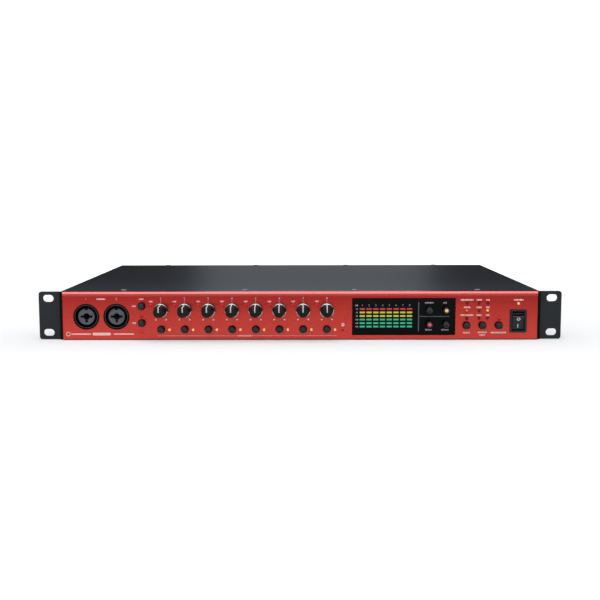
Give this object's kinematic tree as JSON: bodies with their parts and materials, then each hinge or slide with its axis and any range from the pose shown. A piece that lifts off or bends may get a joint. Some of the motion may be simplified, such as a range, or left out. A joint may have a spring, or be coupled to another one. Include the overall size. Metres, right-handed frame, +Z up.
{
  "type": "rack-mount audio interface",
  "caption": "One-unit 19-inch rack microphone preamplifier and audio interface with a red fascia, gain knobs, push buttons, level meter window, combo jacks and a power rocker.",
  "frame": {"origin": "centre of the rack slot pattern, on the rear (seating) faces of the ears", "axes": "+X to the right seen from the front, +Y to the rear, +Z up"},
  "size_m": [0.4826, 0.3344, 0.0453],
  "materials": {
    "case_steel": "fine-textured black powder coat, satin",
    "fascia_red": "red anodised, fine brushed, satin",
    "window_black": "polished black acrylic",
    "bar_red": "lit light guide",
    "bar_yellow": "lit light guide",
    "bar_green": "lit light guide",
    "knob_black": "moulded black plastic with a soft sheen",
    "button_grey": "moulded dark grey plastic, matt",
    "rocker_black": "moulded black plastic, semi-gloss",
    "jack_black": "glass-filled black nylon",
    "jack_grey": "moulded grey nylon",
    "contact_brass": "plated",
    "lamp_amber": "diffused lamp lens",
    "lamp_red": "diffused lamp lens",
    "lamp_dark": "unlit diffused lamp lens",
    "bright_metal": "nickel plate",
    "zinc_screw": "black zinc",
    "board_green": "solder-masked glass epoxy",
    "parts_dark": "moulded component bodies",
    "copper": "enamelled windings on a ferrite core",
    "cable_grey": "flat ribbon"
  },
  "bodies": {
    "chassis": {"base_tray": "case_steel", "top_cover": "case_steel", "front_fascia": "fascia_red", "front_subpanel": "case_steel", "rack_ear_left": "case_steel", "rack_ear_right": "case_steel", "rear_panel": "case_steel", "meter_window": "window_black", "meter_bars_red": "bar_red", "meter_bars_yellow": "bar_yellow", "meter_bars_green": "bar_green", "power_switch_body": "rocker_black", "combo_shells": "jack_black", "combo_cores": "jack_grey", "combo_contacts": "contact_brass", "lit_lamps": "lamp_amber", "peak_lamps": "lamp_red", "status_lamps": "lamp_dark", "mounting_rails": "case_steel", "gain_pots": "parts_dark", "pot_nuts": "bright_metal", "tact_switches": "parts_dark", "front_board": "board_green", "main_board": "board_green", "board_components": "parts_dark", "power_supply_board": "board_green", "mains_transformer": "copper", "mains_inlet": "jack_black", "dsub_connectors": "bright_metal", "optical_ports": "jack_black", "bnc_sockets": "bright_metal", "m3_screws": "zinc_screw", "board_standoffs": "bright_metal", "ribbon_cables": "cable_grey"},
    "gain_knob_1": {"gain_knob_1": "knob_black"},
    "gain_knob_2": {"gain_knob_2": "knob_black"},
    "gain_knob_3": {"gain_knob_3": "knob_black"},
    "gain_knob_4": {"gain_knob_4": "knob_black"},
    "gain_knob_5": {"gain_knob_5": "knob_black"},
    "gain_knob_6": {"gain_knob_6": "knob_black"},
    "gain_knob_7": {"gain_knob_7": "knob_black"},
    "gain_knob_8": {"gain_knob_8": "knob_black"},
    "channel_button_1": {"channel_button_1": "button_grey"},
    "channel_button_2": {"channel_button_2": "button_grey"},
    "channel_button_3": {"channel_button_3": "button_grey"},
    "channel_button_4": {"channel_button_4": "button_grey"},
    "channel_button_5": {"channel_button_5": "button_grey"},
    "channel_button_6": {"channel_button_6": "button_grey"},
    "channel_button_7": {"channel_button_7": "button_grey"},
    "channel_button_8": {"channel_button_8": "button_grey"},
    "phantom_button_1": {"phantom_button_1": "button_grey"},
    "phantom_button_2": {"phantom_button_2": "button_grey"},
    "window_button_1": {"window_button_1": "button_grey"},
    "window_button_2": {"window_button_2": "button_grey"},
    "window_button_3": {"window_button_3": "button_grey"},
    "window_button_4": {"window_button_4": "button_grey"},
    "clock_button_1": {"clock_button_1": "button_grey"},
    "clock_button_2": {"clock_button_2": "button_grey"},
    "clock_button_3": {"clock_button_3": "button_grey"},
    "power_rocker": {"power_rocker": "rocker_black"}
  },
  "joints": [
    {"name": "gain_1_turn", "type": "hinge", "parent": "chassis", "child": "gain_knob_1", "pos_m": [-0.1278, -0.016, 0.0052], "axis": [0, 1, 0], "range_deg": [-150, 150]},
    {"name": "gain_2_turn", "type": "hinge", "parent": "chassis", "child": "gain_knob_2", "pos_m": [-0.106, -0.016, 0.0052], "axis": [0, 1, 0], "range_deg": [-150, 150]},
    {"name": "gain_3_turn", "type": "hinge", "parent": "chassis", "child": "gain_knob_3", "pos_m": [-0.0842, -0.016, 0.0052], "axis": [0, 1, 0], "range_deg": [-150, 150]},
    {"name": "gain_4_turn", "type": "hinge", "parent": "chassis", "child": "gain_knob_4", "pos_m": [-0.0624, -0.016, 0.0052], "axis": [0, 1, 0], "range_deg": [-150, 150]},
    {"name": "gain_5_turn", "type": "hinge", "parent": "chassis", "child": "gain_knob_5", "pos_m": [-0.0406, -0.016, 0.0052], "axis": [0, 1, 0], "range_deg": [-150, 150]},
    {"name": "gain_6_turn", "type": "hinge", "parent": "chassis", "child": "gain_knob_6", "pos_m": [-0.0188, -0.016, 0.0052], "axis": [0, 1, 0], "range_deg": [-150, 150]},
    {"name": "gain_7_turn", "type": "hinge", "parent": "chassis", "child": "gain_knob_7", "pos_m": [0.003, -0.016, 0.0052], "axis": [0, 1, 0], "range_deg": [-150, 150]},
    {"name": "gain_8_turn", "type": "hinge", "parent": "chassis", "child": "gain_knob_8", "pos_m": [0.0248, -0.016, 0.0052], "axis": [0, 1, 0], "range_deg": [-150, 150]},
    {"name": "channel_button_1_press", "type": "slide", "parent": "chassis", "child": "channel_button_1", "axis": [0, 1, 0], "range_m": [0, 0.0012], "stiffness_N_per_m": 600, "springref_m": -0.0015},
    {"name": "channel_button_2_press", "type": "slide", "parent": "chassis", "child": "channel_button_2", "axis": [0, 1, 0], "range_m": [0, 0.0012], "stiffness_N_per_m": 600, "springref_m": -0.0015},
    {"name": "channel_button_3_press", "type": "slide", "parent": "chassis", "child": "channel_button_3", "axis": [0, 1, 0], "range_m": [0, 0.0012], "stiffness_N_per_m": 600, "springref_m": -0.0015},
    {"name": "channel_button_4_press", "type": "slide", "parent": "chassis", "child": "channel_button_4", "axis": [0, 1, 0], "range_m": [0, 0.0012], "stiffness_N_per_m": 600, "springref_m": -0.0015},
    {"name": "channel_button_5_press", "type": "slide", "parent": "chassis", "child": "channel_button_5", "axis": [0, 1, 0], "range_m": [0, 0.0012], "stiffness_N_per_m": 600, "springref_m": -0.0015},
    {"name": "channel_button_6_press", "type": "slide", "parent": "chassis", "child": "channel_button_6", "axis": [0, 1, 0], "range_m": [0, 0.0012], "stiffness_N_per_m": 600, "springref_m": -0.0015},
    {"name": "channel_button_7_press", "type": "slide", "parent": "chassis", "child": "channel_button_7", "axis": [0, 1, 0], "range_m": [0, 0.0012], "stiffness_N_per_m": 600, "springref_m": -0.0015},
    {"name": "channel_button_8_press", "type": "slide", "parent": "chassis", "child": "channel_button_8", "axis": [0, 1, 0], "range_m": [0, 0.0012], "stiffness_N_per_m": 600, "springref_m": -0.0015},
    {"name": "phantom_button_1_press", "type": "slide", "parent": "chassis", "child": "phantom_button_1", "axis": [0, 1, 0], "range_m": [0, 0.0012], "stiffness_N_per_m": 600, "springref_m": -0.0015},
    {"name": "phantom_button_2_press", "type": "slide", "parent": "chassis", "child": "phantom_button_2", "axis": [0, 1, 0], "range_m": [0, 0.0012], "stiffness_N_per_m": 600, "springref_m": -0.0015},
    {"name": "window_button_1_press", "type": "slide", "parent": "chassis", "child": "window_button_1", "axis": [0, 1, 0], "range_m": [0, 0.0012], "stiffness_N_per_m": 600, "springref_m": -0.0015},
    {"name": "window_button_2_press", "type": "slide", "parent": "chassis", "child": "window_button_2", "axis": [0, 1, 0], "range_m": [0, 0.0012], "stiffness_N_per_m": 600, "springref_m": -0.0015},
    {"name": "window_button_3_press", "type": "slide", "parent": "chassis", "child": "window_button_3", "axis": [0, 1, 0], "range_m": [0, 0.0012], "stiffness_N_per_m": 600, "springref_m": -0.0015},
    {"name": "window_button_4_press", "type": "slide", "parent": "chassis", "child": "window_button_4", "axis": [0, 1, 0], "range_m": [0, 0.0012], "stiffness_N_per_m": 600, "springref_m": -0.0015},
    {"name": "clock_button_1_press", "type": "slide", "parent": "chassis", "child": "clock_button_1", "axis": [0, 1, 0], "range_m": [0, 0.0012], "stiffness_N_per_m": 600, "springref_m": -0.0015},
    {"name": "clock_button_2_press", "type": "slide", "parent": "chassis", "child": "clock_button_2", "axis": [0, 1, 0], "range_m": [0, 0.0012], "stiffness_N_per_m": 600, "springref_m": -0.0015},
    {"name": "clock_button_3_press", "type": "slide", "parent": "chassis", "child": "clock_button_3", "axis": [0, 1, 0], "range_m": [0, 0.0012], "stiffness_N_per_m": 600, "springref_m": -0.0015},
    {"name": "power_rock", "type": "hinge", "parent": "chassis", "child": "power_rocker", "pos_m": [0.2006, -0.005, -0.00485], "axis": [-1, 0, 0], "range_deg": [0, 20]}
  ]
}
